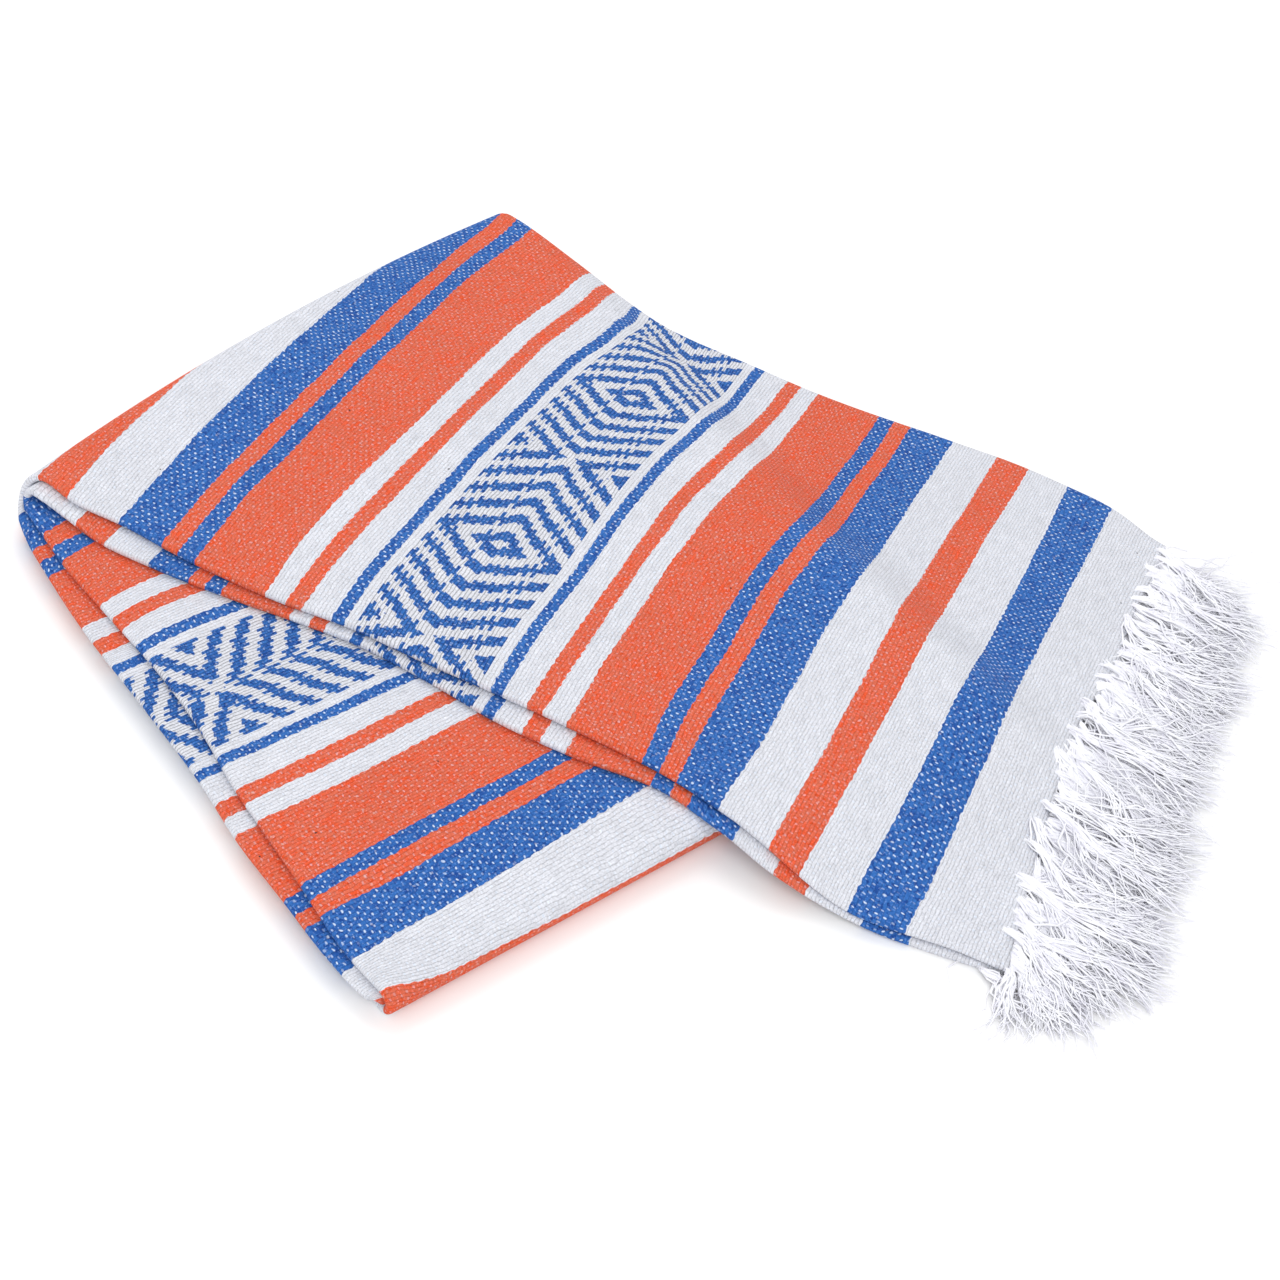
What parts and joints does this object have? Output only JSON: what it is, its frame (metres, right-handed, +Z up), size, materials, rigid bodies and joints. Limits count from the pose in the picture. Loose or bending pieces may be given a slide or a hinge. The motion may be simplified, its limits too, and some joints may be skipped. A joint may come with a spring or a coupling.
{
  "type": "mexican serape",
  "caption": "Striped and fringed woven cotton blanket, folded into a long strip of layers, folded back on itself at a slant and laid flat.",
  "frame": {"origin": "bottom centre of the whole folded serape, on the table", "axes": "+Z up, +X along the upper stretch towards the fringe, +Y across it towards its far folded edge"},
  "size_m": [0.642, 0.5502, 0.0318],
  "materials": {
    "striped_weave": "matt, coarse handwoven cotton in coral, blue and white bands, with white warp specks",
    "plain_weave": "matt, coarse handwoven cotton, soft bluish white",
    "warp_fringe": "matt, loose soft white warp ends"
  },
  "bodies": {
    "root": {"upper_stretch_face": "striped_weave", "upper_stretch_underside": "striped_weave", "hidden_inner_layers": "plain_weave", "lower_stretch_face": "striped_weave", "lower_stretch_underside": "striped_weave", "folded_under_stretch": "plain_weave", "fringe_upper_layer": "warp_fringe", "fringe_inner_layers": "warp_fringe", "fringe_under_layer": "warp_fringe"}
  },
  "joints": []
}
